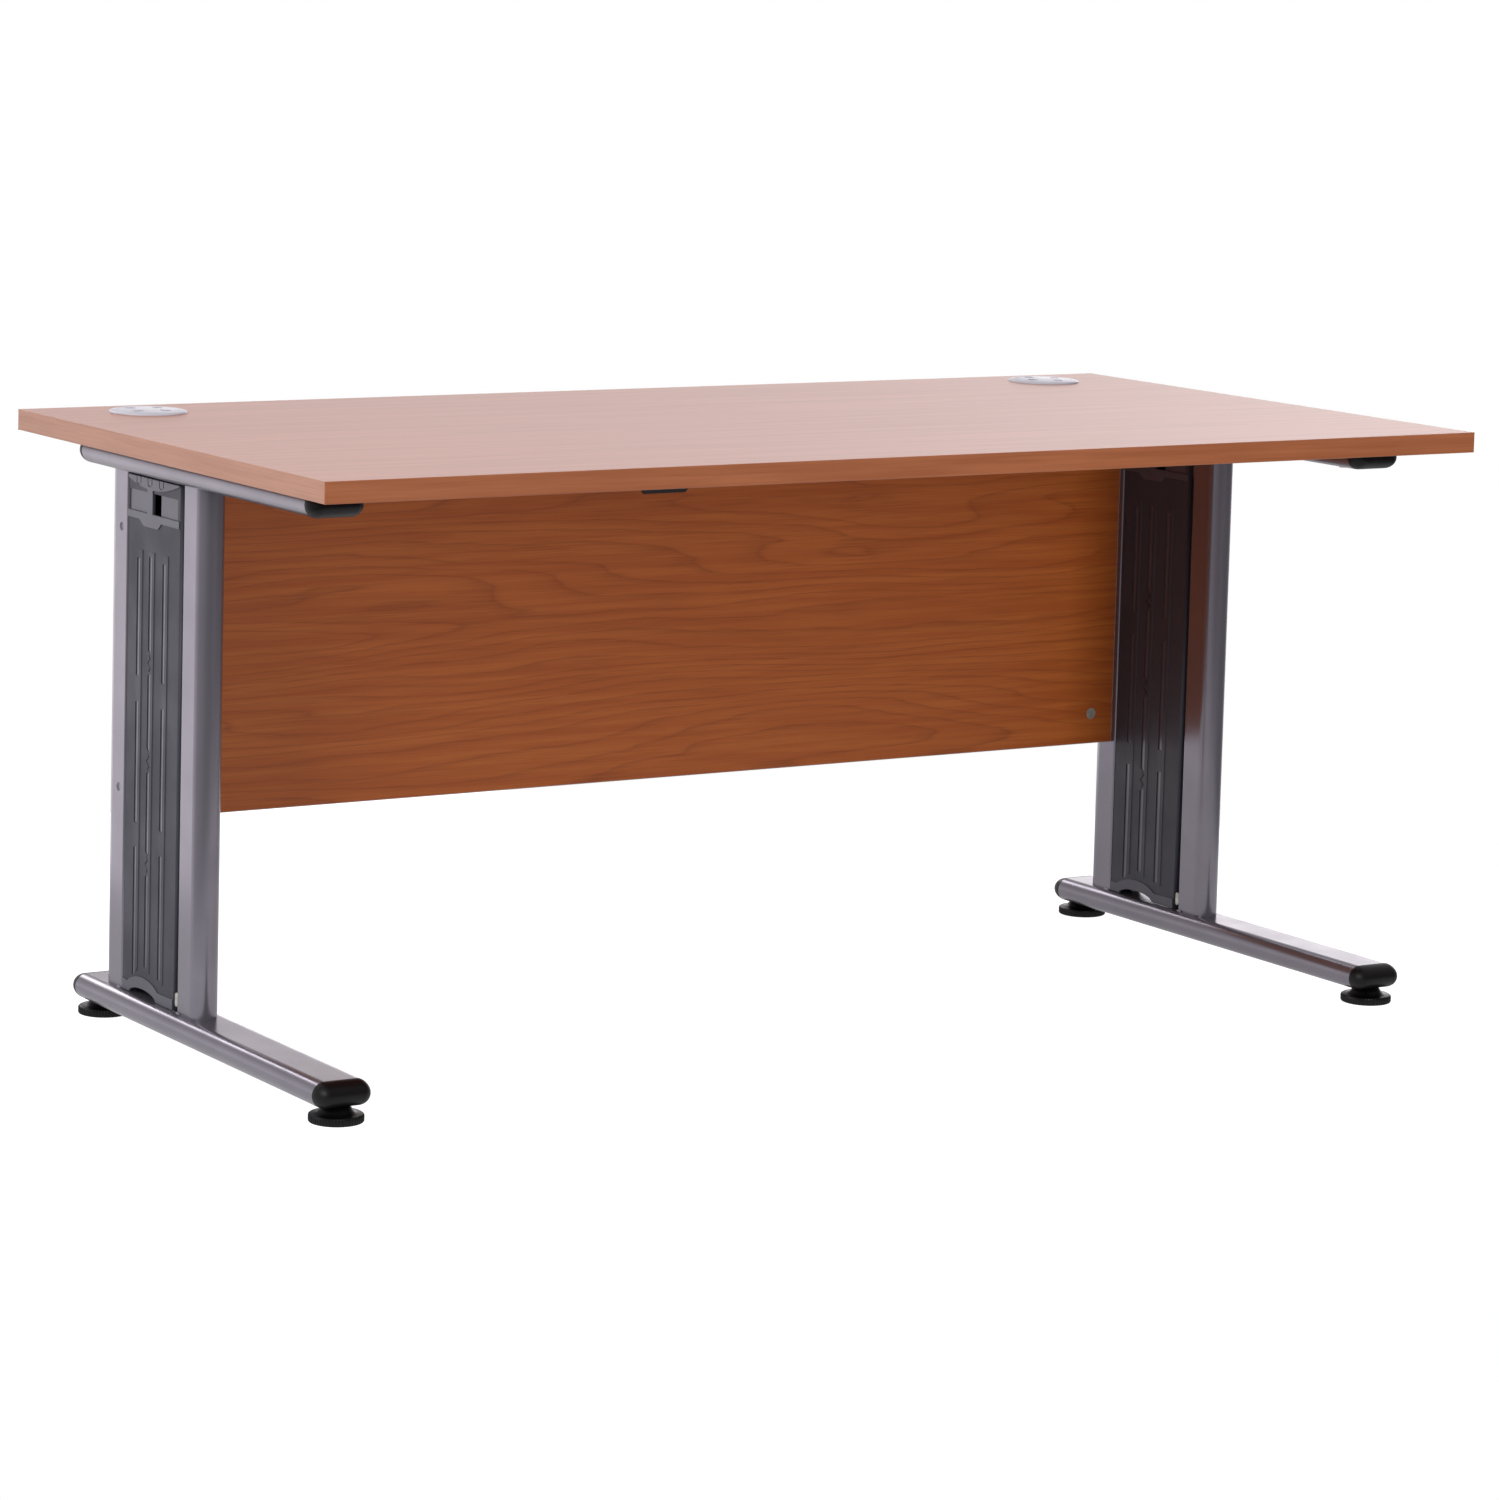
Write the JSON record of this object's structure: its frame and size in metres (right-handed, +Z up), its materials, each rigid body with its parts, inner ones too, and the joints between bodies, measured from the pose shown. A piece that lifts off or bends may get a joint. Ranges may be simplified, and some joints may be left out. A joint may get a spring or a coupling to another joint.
{
  "type": "teacher desk",
  "caption": "Rectangular desk with a cherry laminate top and modesty panel on silver cantilever legs, with clip-on cable covers, levelling feet and cable grommets.",
  "frame": {"origin": "on the floor under the middle of the desktop's outline", "axes": "+X to the sitter's right along the desk, +Y from the sitter to the modesty panel, +Z up"},
  "size_m": [1.6, 0.8, 0.7286],
  "materials": {
    "desktop_laminate": "satin cherry laminate on chipboard",
    "desktop_edging": "cherry plastic edging",
    "panel_laminate": "satin cherry laminate on chipboard",
    "panel_edging": "cherry plastic edging",
    "leg_steel": "silver powder coat",
    "cap_plastic": "satin black",
    "leveller_plastic": "satin black",
    "stud_steel": "zinc plated",
    "insert_brass": "turned",
    "cover_plastic": "anthracite, fine grain",
    "grommet_plastic": "light grey",
    "fixing_steel": "zinc plated",
    "bracket_steel": "dark grey powder coat",
    "screw_black": "blackened"
  },
  "bodies": {
    "desk_frame": {"bracket_screws": "screw_black", "cover_pins": "leg_steel", "desktop_board": "desktop_laminate", "desktop_inserts": "fixing_steel", "edging_front": "desktop_edging", "edging_left": "desktop_edging", "edging_rear": "desktop_edging", "edging_right": "desktop_edging", "foot_cap_front_left": "cap_plastic", "foot_cap_front_right": "cap_plastic", "foot_cap_rear_left": "cap_plastic", "foot_cap_rear_right": "cap_plastic", "foot_left": "leg_steel", "foot_right": "leg_steel", "front_upright_left": "leg_steel", "front_upright_right": "leg_steel", "grommet_liner_left": "grommet_plastic", "grommet_liner_right": "grommet_plastic", "leveller_inserts": "insert_brass", "modesty_edging_bottom": "panel_edging", "modesty_edging_left": "panel_edging", "modesty_edging_right": "panel_edging", "modesty_edging_top": "panel_edging", "modesty_panel": "panel_laminate", "panel_bolts": "fixing_steel", "panel_bracket": "bracket_steel", "panel_nuts": "fixing_steel", "rail_cap_front_left": "cap_plastic", "rail_cap_front_right": "cap_plastic", "rail_cap_rear_left": "cap_plastic", "rail_cap_rear_right": "cap_plastic", "rail_left": "leg_steel", "rail_right": "leg_steel", "rail_screws": "fixing_steel", "rear_upright_left": "leg_steel", "rear_upright_right": "leg_steel"},
    "leveller_front_left": {"leveller_pad_front_left": "leveller_plastic", "leveller_stud_front_left": "stud_steel"},
    "leveller_front_right": {"leveller_pad_front_right": "leveller_plastic", "leveller_stud_front_right": "stud_steel"},
    "leveller_rear_left": {"leveller_pad_rear_left": "leveller_plastic", "leveller_stud_rear_left": "stud_steel"},
    "leveller_rear_right": {"leveller_pad_rear_right": "leveller_plastic", "leveller_stud_rear_right": "stud_steel"},
    "cover_outer_left": {"cover_outer_left": "cover_plastic"},
    "cover_outer_right": {"cover_outer_right": "cover_plastic"},
    "cover_inner_left": {"cover_inner_left": "cover_plastic"},
    "cover_inner_right": {"cover_inner_right": "cover_plastic"},
    "grommet_lid_left": {"grommet_lid_left": "grommet_plastic"},
    "grommet_lid_right": {"grommet_lid_right": "grommet_plastic"}
  },
  "joints": [
    {"name": "leveller_front_left_height", "type": "slide", "parent": "desk_frame", "child": "leveller_front_left", "axis": [0, 0, -1], "range_m": [0, 0.012]},
    {"name": "leveller_front_right_height", "type": "slide", "parent": "desk_frame", "child": "leveller_front_right", "axis": [0, 0, -1], "range_m": [0, 0.012]},
    {"name": "leveller_rear_left_height", "type": "slide", "parent": "desk_frame", "child": "leveller_rear_left", "axis": [0, 0, -1], "range_m": [0, 0.012]},
    {"name": "leveller_rear_right_height", "type": "slide", "parent": "desk_frame", "child": "leveller_rear_right", "axis": [0, 0, -1], "range_m": [0, 0.012]},
    {"name": "cover_outer_left_off", "type": "slide", "parent": "desk_frame", "child": "cover_outer_left", "axis": [-1, 0, 0], "range_m": [0, 0.06]},
    {"name": "cover_outer_right_off", "type": "slide", "parent": "desk_frame", "child": "cover_outer_right", "axis": [1, 0, 0], "range_m": [0, 0.06]},
    {"name": "cover_inner_left_off", "type": "slide", "parent": "desk_frame", "child": "cover_inner_left", "axis": [1, 0, 0], "range_m": [0, 0.06]},
    {"name": "cover_inner_right_off", "type": "slide", "parent": "desk_frame", "child": "cover_inner_right", "axis": [-1, 0, 0], "range_m": [0, 0.06]},
    {"name": "grommet_lid_left_lift", "type": "slide", "parent": "desk_frame", "child": "grommet_lid_left", "axis": [0, 0, 1], "range_m": [0, 0.025]},
    {"name": "grommet_lid_right_lift", "type": "slide", "parent": "desk_frame", "child": "grommet_lid_right", "axis": [0, 0, 1], "range_m": [0, 0.025]}
  ]
}
